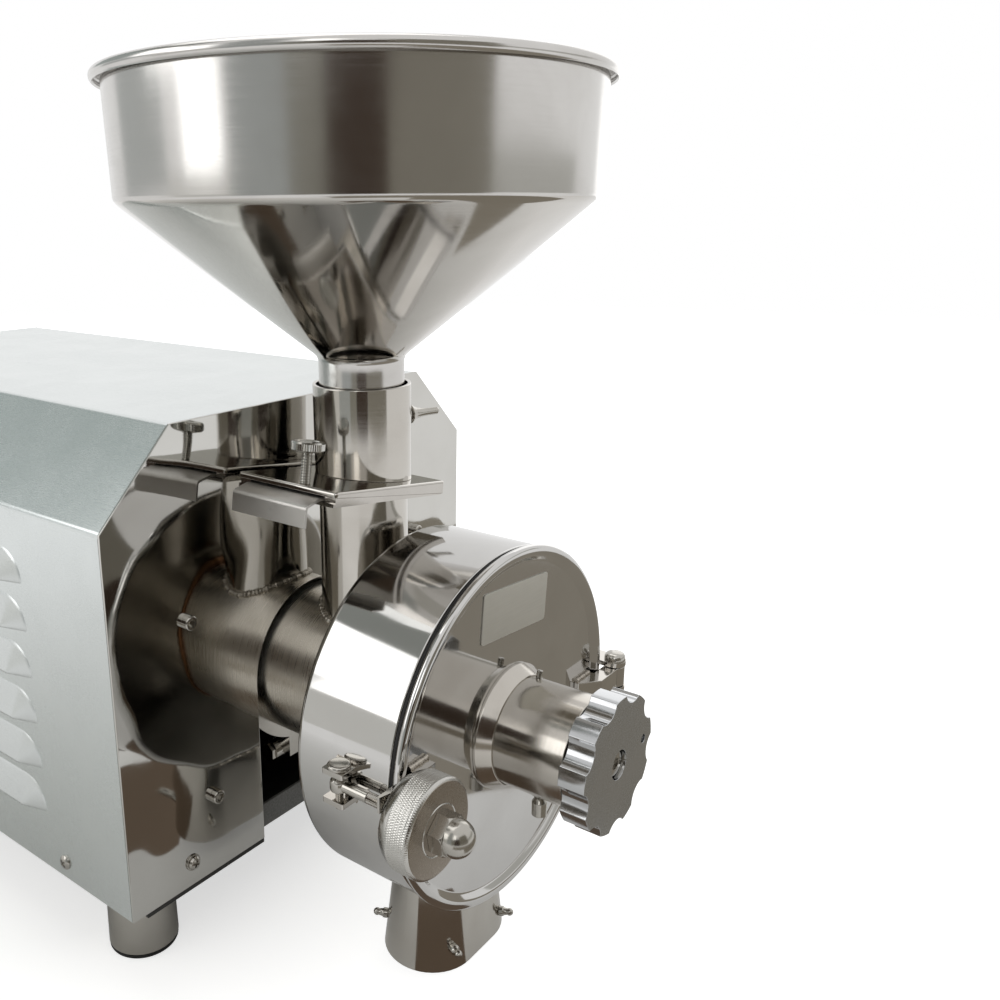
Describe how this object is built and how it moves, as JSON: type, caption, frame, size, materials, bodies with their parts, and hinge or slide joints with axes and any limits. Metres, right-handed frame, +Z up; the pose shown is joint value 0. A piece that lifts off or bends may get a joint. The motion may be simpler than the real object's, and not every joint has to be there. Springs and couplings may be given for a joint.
{
  "type": "stone mill",
  "caption": "Bench grain mill: round hopper over a sliding feed gate, horizontal barrel, hinged grinding drum with adjusting star knob, box-shaped motor housing on legs.",
  "frame": {"origin": "on the bench under the middle of the overall box", "axes": "+Z up, -Y towards the drum and knob at the front, +X to the right seen from the front"},
  "size_m": [0.321, 0.687, 0.5122],
  "materials": {
    "polished_steel": "mirror-polished stainless steel",
    "satin_steel": "satin stainless sheet",
    "knurled_steel": "turned and knurled stainless steel",
    "bright_fasteners": "bright stainless fasteners",
    "cast_knob": "ground and polished steel",
    "machined_steel": "machined steel",
    "painted_plate": "black painted steel",
    "motor_casting": "painted casting",
    "mill_stone": "dressed grinding stone",
    "black_rubber": "moulded rubber",
    "black_plastic": "moulded plastic",
    "red_plastic": "moulded plastic"
  },
  "bodies": {
    "machine": {"front_panel": "polished_steel", "legs": "polished_steel", "feed_barrel": "polished_steel", "feed_pipe": "polished_steel", "gate_seat": "polished_steel", "gate_guide": "polished_steel", "hopper_sleeve": "polished_steel", "lock_boss": "polished_steel", "drum_shell": "polished_steel", "outlet_chute": "polished_steel", "bag_pins": "polished_steel", "hinge_bracket": "polished_steel", "latch_bracket": "polished_steel", "housing_cover": "satin_steel", "rear_panel": "satin_steel", "panel_screws": "bright_fasteners", "socket_screws": "bright_fasteners", "side_screws": "bright_fasteners", "clamp_bolt": "bright_fasteners", "hinge_pin": "bright_fasteners", "latch_pin": "bright_fasteners", "motor_bearings": "machined_steel", "base_plate": "painted_plate", "panel_stiffener": "painted_plate", "barrel_clamp": "painted_plate", "motor_frame": "motor_casting", "motor_front_bell": "motor_casting", "motor_rear_bell": "motor_casting", "leg_pads": "black_rubber", "switch_body": "black_plastic", "cable_gland": "black_plastic"},
    "rotor": {"motor_shaft": "machined_steel", "rotor_core": "machined_steel", "cooling_fan": "black_plastic", "feed_auger": "machined_steel", "runner_hub": "machined_steel", "runner_stone": "mill_stone", "shaft_nut": "bright_fasteners"},
    "door": {"door_cap": "polished_steel", "door_gasket": "black_rubber", "adjuster_tube": "polished_steel", "adjuster_collar": "polished_steel", "tube_screws": "bright_fasteners", "blank_plate": "polished_steel", "hinge_strap": "polished_steel", "latch_lug": "polished_steel"},
    "bed_carriage": {"bed_stone": "mill_stone", "stone_carrier": "machined_steel"},
    "adjuster": {"star_knob": "cast_knob", "knob_screw": "bright_fasteners", "adjuster_spindle": "machined_steel"},
    "latch_bolt": {"swing_bolt": "polished_steel"},
    "latch_follower": {"latch_collar": "polished_steel"},
    "latch_nut": {"latch_wheel": "knurled_steel", "dome_nut": "bright_fasteners"},
    "feed_gate": {"gate_plate": "polished_steel"},
    "gate_screw": {"thumb_screw": "knurled_steel"},
    "hopper_screw": {"lock_screw": "bright_fasteners"},
    "hopper_bowl": {"hopper": "satin_steel"},
    "rocker": {"switch_rocker": "red_plastic"}
  },
  "joints": [
    {"name": "rotor_spin", "type": "hinge", "parent": "machine", "child": "rotor", "pos_m": [0, -0.1305, 0.1655], "axis": [0, 1, 0], "continuous": true},
    {"name": "door_swing", "type": "hinge", "parent": "machine", "child": "door", "pos_m": [0.112, -0.2845, 0.1555], "axis": [0, 0, 1], "range_deg": [0, 110]},
    {"name": "bed_slide", "type": "slide", "parent": "door", "child": "bed_carriage", "axis": [0, -1, 0], "range_m": [0, 0.004]},
    {"name": "knob_turn", "type": "hinge", "parent": "bed_carriage", "child": "adjuster", "pos_m": [0, -0.3355, 0.1655], "axis": [0, -1, 0], "range_deg": [0, 720]},
    {"name": "latch_swing", "type": "hinge", "parent": "machine", "child": "latch_bolt", "pos_m": [-0.107, -0.2455, 0.169], "axis": [0, 0, -1], "range_deg": [0, 95]},
    {"name": "nut_slide", "type": "slide", "parent": "latch_bolt", "child": "latch_follower", "axis": [0, -1, 0], "range_m": [0, 0.003]},
    {"name": "nut_turn", "type": "hinge", "parent": "latch_follower", "child": "latch_nut", "pos_m": [-0.107, -0.2965, 0.169], "axis": [0, -1, 0], "range_deg": [0, 1080]},
    {"name": "gate_slide", "type": "slide", "parent": "machine", "child": "feed_gate", "axis": [-0.9889, 0, 0.1483], "range_m": [0, 0.054]},
    {"name": "gate_screw_turn", "type": "hinge", "parent": "machine", "child": "gate_screw", "pos_m": [-0.05637, -0.1795, 0.30195], "axis": [0.1483, 0, 0.9889], "range_deg": [0, 720]},
    {"name": "hopper_screw_turn", "type": "hinge", "parent": "machine", "child": "hopper_screw", "pos_m": [0.03759, -0.18618, 0.326], "axis": [0.9397, -0.342, 0], "range_deg": [0, 720]},
    {"name": "hopper_lift", "type": "slide", "parent": "machine", "child": "hopper_bowl", "axis": [0, 0, 1], "range_m": [0, 0.05]},
    {"name": "switch_rock", "type": "hinge", "parent": "machine", "child": "rocker", "pos_m": [-0.08, 0.3305, 0.24], "axis": [1, 0, 0], "range_deg": [0, 16]}
  ],
  "couplings": [
    {"joint": "bed_slide", "follows": "knob_turn", "m_per_rad": 0.00031831},
    {"joint": "nut_slide", "follows": "nut_turn", "m_per_rad": 0.00015915}
  ]
}
